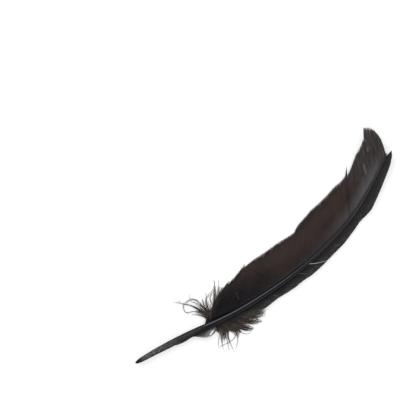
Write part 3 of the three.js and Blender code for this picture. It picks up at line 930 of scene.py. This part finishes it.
def loose_strands(rows, side, pick, length, together, random):
    """Lines of loose barbs that fan out between rows, drawn towards the longest row near them."""
    out = np.r_[0, rows[:, 2], 0]
    peaks = np.flatnonzero((out[1:-1] >= out[:-2]) & (out[1:-1] >= out[2:]))
    nearest = peaks[np.abs(pick[:, None] - peaks[None, :]).argmin(1)]

    def line(at):
        start = np.interp(at, np.arange(len(rows)), rows[:, 0])[:, None]
        return barb_line(rows, start, STRAND_V * length[:, None])

    drawn = together[:, None] * smoothstep(STRAND_V, 0.3, 1.0)
    s, d = (mix(own, shared, drawn) for own, shared in zip(line(pick), line(nearest)))
    one_each = (len(pick), 1)
    bow = random.normal(0, 1.0, one_each)
    bow = bow * np.sin(np.pi * STRAND_V * random.uniform(0.5, 1.1, one_each)) * STRAND_V
    s = s + STRAND_BOW * bow + random.normal(0, 0.35, one_each) * STRAND_V
    return place(s, side * (d - 0.5 * bow))


def barbule_lines(centre, per_mm, length, random):
    """Straight barbules on both sides of each strand: roots, tips, their strands, and where on them."""
    run = np.linalg.norm(np.diff(centre, axis=1), axis=-1).sum(1)
    many = np.maximum((run * per_mm).astype(int), 2)
    strand = np.repeat(np.arange(len(centre)), many)
    order = np.concatenate([np.arange(n) for n in many])
    count = len(order)
    at = (order + random.random(count)) / np.repeat(many, many)
    exact = np.clip(at, 0.03, 0.995) * (STRAND_STATIONS - 1)
    low = exact.astype(int)
    base = mix(centre[strand, low], centre[strand, low + 1], (exact - low)[:, None])
    along, across = (way[strand, low] for way in directions(centre))
    up = np.cross(along, across)
    side = np.where(order % 2 == 0, 1, -1)
    lean = np.radians(random.normal(BARBULE_SPREAD, 15, count))
    rise = random.normal(0, 0.3, count)
    out = along * np.cos(lean)[:, None] + across * (side * np.sin(lean))[:, None] + up * rise[:, None]
    size = length[strand] * random.uniform(0.35, 1.3, count)
    size = size * (1 - 0.35 * at) * smoothstep(at, -0.12, 0.2)
    return base, base + out * size[:, None], strand, at


def spikes(base, tip, radius):
    """Points and faces of many thin three-sided spikes, each with its own radius at its root."""
    along = unit(tip - base)
    across = unit(np.cross(along, (0.0, 0.0, 1.0)))
    up = np.cross(across, along)
    angle = turns(BARBULE_SIDES)
    ring = across[:, None, :] * np.cos(angle)[:, None] + up[:, None, :] * np.sin(angle)[:, None]
    points = np.concatenate([base[:, None, :] + ring * radius[:, None, None], tip[:, None, :]], 1)
    corner = np.arange(BARBULE_SIDES)
    sides = np.stack([corner, (corner + 1) % BARBULE_SIDES, np.full(BARBULE_SIDES, BARBULE_SIDES)], -1)
    template = np.vstack([sides, corner[::-1]])
    first = np.arange(len(base))[:, None, None] * (BARBULE_SIDES + 1)
    return points, (first + template).reshape(-1, 3)


def down(name, node, material, groups, random):
    """Loose fluffy barbs: soft strands with fine barbules along them."""
    centre, width, length, radius, dark, per_mm = (np.concatenate(parts) for parts in zip(*groups))
    count = len(centre)
    thick = mix(1.0, STRAND_TIP, STRAND_V**2) * width[:, None]
    angle = turns(STRAND_SIDES)
    thick = thick[..., None]
    stems = around(centre, *directions(centre), thick * np.cos(angle), STRAND_FLAT * thick * np.sin(angle))
    stems = stems.reshape(-1, 3)
    base, tip, strand, at = barbule_lines(centre, per_mm, length, random)
    radius = radius[strand]
    base[:, 2] = np.maximum(base[:, 2], radius)
    tip[:, 2] = np.maximum(tip[:, 2], radius)
    wisps, wisp_faces = spikes(base, tip, radius)
    first = len(stems)
    points = np.concatenate([stems, wisps.reshape(-1, 3)])
    faces = sweep_faces(count, STRAND_STATIONS, STRAND_SIDES) + [wisp_faces + first]
    mesh, corners = build_mesh(name, points, faces)

    row = np.repeat(np.arange(count), STRAND_STATIONS * STRAND_SIDES)
    row = np.r_[row, np.repeat(strand, BARBULE_SIDES + 1)]
    shade = random.random(count)
    fluff = np.r_[np.zeros(first), np.tile([0.3, 0.3, 0.3, 1.0], len(base))]
    share = np.r_[np.tile(np.repeat(STRAND_V, STRAND_SIDES), count), np.repeat(at, BARBULE_SIDES + 1)]
    fade = np.maximum(dark[row] * (1 - smoothstep(share, 0.15, 0.7)), dark[row] - 1)
    u = 0.5 * np.where(np.arange(len(row)) < first, share, 1 + fluff)
    level = np.tile([0, 0.5, 1, 0.5], len(row) // 4)
    set_map(mesh, u[corners], map_strip(row, level, count)[corners])
    numbers = {"barb": shade[row], "fluff": fluff, "dark": fade}
    add_piece(name, mesh, node, material, numbers)


def raised(flat, random, float_up=1.0):
    """Strands seen from above, given their height over the surface of their down."""
    s, d = nearest_place(flat)
    rise = random.uniform(0, float_up, (len(flat), 1)) * np.sin(np.pi * 0.6 * STRAND_V)
    return np.dstack([flat, under_down(s, d) + STRAND_RISE + rise])


def strand_group(centre, kind, random):
    """Strands, with the measures of each one, drawn from those of their kind."""
    width, length, radius, dark, per_mm = kind
    count = len(centre)
    return (
        centre,
        random.uniform(*width, count),
        random.uniform(*length, count),
        np.full(count, radius),
        random.uniform(*dark, count),
        np.full(count, per_mm),
    )


def beside(routes, random, copies, share, jitter):
    """Copies of routes, shortened, each bent a little another way."""
    which = np.repeat(np.arange(len(routes)), copies)
    count = len(which)
    length = random.uniform(*share, (count, 1))
    exact = STRAND_V * length * (STRAND_STATIONS - 1)
    low = np.minimum(exact.astype(int), STRAND_STATIONS - 2)
    line = mix(routes[which[:, None], low], routes[which[:, None], low + 1], (exact - low)[..., None])
    away = random.normal(0, jitter, (count, 1, 2)) * (STRAND_V * length)[..., None]
    bow = random.normal(0, 0.35 * jitter, (count, 1, 2)) * np.sin(np.pi * STRAND_V)[..., None]
    return line + away + bow + random.normal(0, 0.25, (count, 1, 2))


def between(routes, random, count, gather=None):
    """Routes that lie between the given ones, anywhere or gathered about each of them."""
    last = len(routes) - 1
    exact = random.uniform(0, last, count)
    if gather:
        exact = np.round(exact) + random.normal(0, gather, count)
    exact = np.clip(exact, 0, last - 0.001)
    low = exact.astype(int)
    return mix(routes[low], routes[low + 1], (exact - low)[:, None, None])


def clumped(pairs, roots, side, random, count, share):
    """Strands that fill each pair of routes and draw together at its point."""
    filled = []
    for pair, s in zip(pairs, roots):
        pair = even_routes(pair, None if s is None else (s + 1, s - 1), side)
        filled.append(beside(between(pair, random, count), random, 1, share, CLUMP_JITTER))
    return np.concatenate(filled)


def with_copies(routes, random, **settings):
    return np.concatenate([routes, beside(routes, random, **settings)])


def fringe_strands(random):
    """Soft ends of barbs along the broad vane's lower edge."""
    one_each = (FRINGE_COUNT, 1)
    start = np.sort(random.uniform(BROAD_BARBS[0, 0], FRINGE_END, FRINGE_COUNT))
    low, high = random.uniform(*FRINGE_FROM, one_each), random.uniform(*FRINGE_TO, one_each)
    t = mix(low, high, STRAND_V)
    s, d = barb_line(BROAD_BARBS, start[:, None], t)
    s = s + random.normal(0, 9, one_each) * np.maximum(t - low, 0) ** 1.5
    return np.dstack([place(s, d), under_broad(s, d) + FRINGE_RISE])


def upper_fluff(material):
    """Long curling wisps, a dense tuft at their root, and a soft fringe along the vane's lower edge."""
    random = np.random.default_rng(SEED + 3)
    wisps = even_routes(UPPER_STRANDS, np.linspace(*WISP_ROOTS, len(UPPER_STRANDS)), 1)
    wisps = with_copies(wisps, random, copies=1, share=(0.75, 1.0), jitter=0.8)
    wisps = raised(wisps, random, float_up=2.0)
    edge = with_copies(even_routes(EDGE_STRANDS), random, copies=2, share=(0.35, 0.85), jitter=0.9)
    loose = clumped(EDGE_CLUMPS, EDGE_CLUMP_ROOTS, 1, random, count=6, share=(0.5, 1.0))
    edge = raised(np.concatenate([edge, loose]), random, float_up=0.6)
    tuft = even_routes(UPPER_TUFT, np.linspace(*TUFT_ROOTS, len(UPPER_TUFT)), 1)
    tuft = between(tuft, random, count=130, gather=0.28)
    tuft = beside(tuft, random, copies=1, share=(0.45, 0.98), jitter=0.6)
    heavy = clumped(UPPER_CLUMPS, UPPER_CLUMP_ROOTS, 1, random, count=24, share=(0.45, 0.95))
    tuft = raised(np.concatenate([tuft, heavy]), random, float_up=1.5)
    fringe = fringe_strands(random)
    groups = [
        strand_group(wisps, WISP, random),
        strand_group(edge, EDGE, random),
        strand_group(tuft, TUFT, random),
        strand_group(fringe, FRINGE, random),
        strand_group(raised(even_routes([UPPER_CURL]), random, float_up=0.1), CURL, random),
    ]
    down("upper_fluff", "upper_down", material, groups, random)


def lower_fluff(material):
    """Soft barbs that thicken from loose hanging strands to a dense mass of pointed clumps."""
    random = np.random.default_rng(SEED + 4)
    rows = LOWER_DOWN_BARBS
    count = MATTED + LOOSE_ENDS
    start = random.uniform(rows[0, 0], rows[-1, 0], count)
    pick = np.interp(start, rows[:, 0], np.arange(len(rows)))
    share = np.r_[random.uniform(0.6, 0.97, MATTED), random.normal(0.99, 0.04, LOOSE_ENDS)]
    together = np.r_[random.uniform(0.0, 0.15, MATTED), random.uniform(0.1, 0.3, LOOSE_ENDS)]
    flat = loose_strands(rows, -1, pick, share, together, random)
    pointed = clumped(LOWER_CLUMPS, LOWER_CLUMP_ROOTS, -1, random, count=22, share=(0.8, 1.0))
    mass = raised(np.concatenate([flat, pointed]), random, float_up=1.2)
    s, d = nearest_place(mass)
    joining = smoothstep(s[:, :1], *DOWN_TO_WEB)
    mass[..., 2] = mix(mass[..., 2], under_narrow(s, np.minimum(d, 9)) + 0.1, joining)
    hanging = clumped(HANGING_CLUMPS, HANGING_CLUMP_ROOTS, -1, random, count=20, share=(0.65, 1.0))
    loose = even_routes(LOWER_STRANDS, LOWER_STRAND_ROOTS, -1)
    loose = with_copies(loose, random, copies=1, share=(0.85, 1.0), jitter=0.5)
    groups = [
        strand_group(mass[:MATTED], MAT, random),
        strand_group(mass[MATTED:count], LOOSE_END, random),
        strand_group(mass[count:], CLUMP, random),
        strand_group(raised(hanging, random), HANGING, random),
        strand_group(raised(loose, random), LOOSE, random),
    ]
    down("lower_fluff", "lower_down", material, groups, random)


# Membrane and flake

# The membrane's outer edge, and the hole near its far end with its slanting axes.
MEMBRANE_ROOT, MEMBRANE_HEIGHT, MEMBRANE_ARCH, MEMBRANE_SAG = -3.1, 5.0, 1.7, 0.6
MEMBRANE_EDGE = [
    (61, -3.6), (62.2, -4), (66, -6.4), (70.1, -8.9), (75, -10), (80.4, -8.8), (83.3, -6.8), (84, -4.4),
]
MEMBRANE_HOLE = {"s": 78.3, "d": -7.1, "long": 3.0, "wide": 0.85, "slant": (0.9, 0.43)}
MEMBRANE_THICKNESS = 0.12
FLAKE_START, FLAKE_END, FLAKE_ROOT, FLAKE_HEIGHT = 42, 57, -3.1, 3.4
FLAKE_THICKNESS = 0.15
# How pale the flake is from its tip inwards, as shares of the membrane's reach.
FLAKE_PALE, FLAKE_DARK = 0.8, 0.42


def thin_sheet(name, node, material, s, d, height, wobble, reach, thickness, random, keep=True):
    """A sheet of square faces through places and heights, without those not kept, given a thickness."""
    s, height, reach = (np.broadcast_to(values, d.shape) for values in (s, height, reach))
    grid = np.dstack([place(s, d), height])
    grid += random.normal(0, wobble, grid.shape)
    index = np.arange(d.size).reshape(d.shape)
    quads = np.stack([index[:-1, :-1], index[1:, :-1], index[1:, 1:], index[:-1, 1:]], -1)
    quads = quads[np.broadcast_to(keep, quads.shape[:2])].reshape(-1, 4)
    used = np.unique(quads)
    mesh, _ = build_mesh(name, grid.reshape(-1, 3)[used], [np.searchsorted(used, quads)])
    numbers = {"place_s": s.ravel()[used], "reach": reach.ravel()[used]}
    piece = add_piece(name, mesh, node, material, numbers)
    solid = piece.modifiers.new("thickness", "SOLIDIFY")
    solid.thickness = thickness * MM
    solid.offset = 0


def outside_hole(s, d):
    """Which faces lie outside the membrane's hole."""
    hole = MEMBRANE_HOLE
    along, across = hole["slant"]
    from_s = (s[:-1, :-1] + s[1:, 1:]) / 2 - hole["s"]
    from_d = (d[:-1, :-1] + d[1:, 1:]) / 2 - hole["d"]
    far = (along * from_s + across * from_d) / hole["long"]
    wide = (along * from_d - across * from_s) / hole["wide"]
    return far**2 + wide**2 > 1


def membrane(material):
    """The torn skin that stands round the pit, with a hole through it near its far end."""
    s = np.linspace(MEMBRANE_EDGE[0][0], MEMBRANE_EDGE[-1][0], 40)[:, None]
    v = np.linspace(0, 1, 18)[None, :]
    d = mix(MEMBRANE_ROOT, smooth(MEMBRANE_EDGE, s), v)
    s = np.broadcast_to(s, d.shape)
    crumple = 0.12 * np.sin(s * 1.7 + 5 * v) + 0.08 * np.sin(s * 3.1 - 9 * v)
    arch = MEMBRANE_ARCH * np.sin(np.pi * np.clip(v, 0, 0.9))
    height = lift(s) + MEMBRANE_HEIGHT + arch - MEMBRANE_SAG * v + crumple
    thin_sheet(
        "umbilicus_skin", "umbilicus_membrane", material, s, d, height, 0.03, v, MEMBRANE_THICKNESS,
        np.random.default_rng(SEED + 5), outside_hole(s, d),
    )


def flake(material):
    """A curled flake of dry sheath along the quill's side."""
    s = np.linspace(FLAKE_START, FLAKE_END, 30)[:, None]
    v = np.linspace(0, 1, 8)[None, :]
    size = np.sin(np.pi * (s - FLAKE_START + 1) / (FLAKE_END - FLAKE_START + 2)) ** 0.6
    d = FLAKE_ROOT - size * np.sin(np.pi * 0.75 * v) - 0.15 * size
    height = lift(s) + FLAKE_HEIGHT + (1.2 - 2.4 * v) * size
    height = height + 0.1 * np.sin(s * 2.3 + 3 * v)
    reach = mix(FLAKE_PALE, FLAKE_DARK, smoothstep(s, 44, 51))
    thin_sheet(
        "sheath_curl", "sheath_flake", material, s, d, height, 0.025, reach, FLAKE_THICKNESS,
        np.random.default_rng(SEED + 6),
    )


# Surface, light and camera

def stage():
    half = SURFACE_HALF_M
    mesh = bpy.data.meshes.new("surface")
    corners = [(-half, -half, 0), (half, -half, 0), (half, half, 0), (-half, half, 0)]
    mesh.from_pydata(corners, [], [(0, 1, 2, 3)])
    surface = add_object("surface", mesh)
    n = Nodes("white surface", specular=0.1)
    n.base = (SURFACE_GREY, SURFACE_GREY, SURFACE_GREY, 1)
    n.shader.inputs["Emission Color"].default_value = (1, 1, 1, 1)
    n.shader.inputs["Emission Strength"].default_value = SURFACE_GLOW
    mesh.materials.append(n.finish(0.9))


def lights():
    for name, place_m, size, power in LIGHTS:
        data = bpy.data.lights.new(name, "AREA")
        data.shape = "DISK"
        data.size = size
        data.energy = power
        light = add_object(name, data)
        light.location = place_m
        back = np.array(place_m) / np.linalg.norm(place_m)
        light.rotation_euler = (math.acos(back[2]), 0, math.atan2(back[1], back[0]) + math.pi / 2)
    world = bpy.data.worlds.new("pale room")
    world.use_nodes = True
    background = world.node_tree.nodes["Background"]
    background.inputs["Color"].default_value = (1, 1, 1, 1)
    background.inputs["Strength"].default_value = ROOM_LIGHT
    bpy.context.scene.world = world
    bpy.context.scene.view_settings.view_transform = "Standard"


def camera():
    data = bpy.data.cameras.new("camera")
    data.sensor_width = SENSOR_WIDTH
    data.lens = SENSOR_WIDTH * CAMERA_HEIGHT / FRAME_WIDTH
    data.clip_start, data.clip_end = CLIP_M
    eye = add_object("camera", data)
    eye.location = (CAMERA_PLACE[0] * MM, CAMERA_PLACE[1] * MM, CAMERA_HEIGHT * MM)
    eye.rotation_euler = (0, 0, math.radians(CAMERA_TURN))
    bpy.context.scene.camera = eye


camera()
lights()
stage()
shaft(shaft_material())
vane(
    "broad_barbs", "broad_vane", broad_material(), BROAD_BARBS, 1, under_broad, [], broad_wave, SEED + 1,
)
vane(
    "narrow_barbs", "narrow_vane", narrow_material(), NARROW_BARBS, -1, under_narrow, NARROW_SPLITS,
    narrow_wave, SEED + 2,
)
fluffy = down_material()
upper_fluff(fluffy)
lower_fluff(fluffy)
skin = membrane_material()
membrane(skin)
flake(skin)
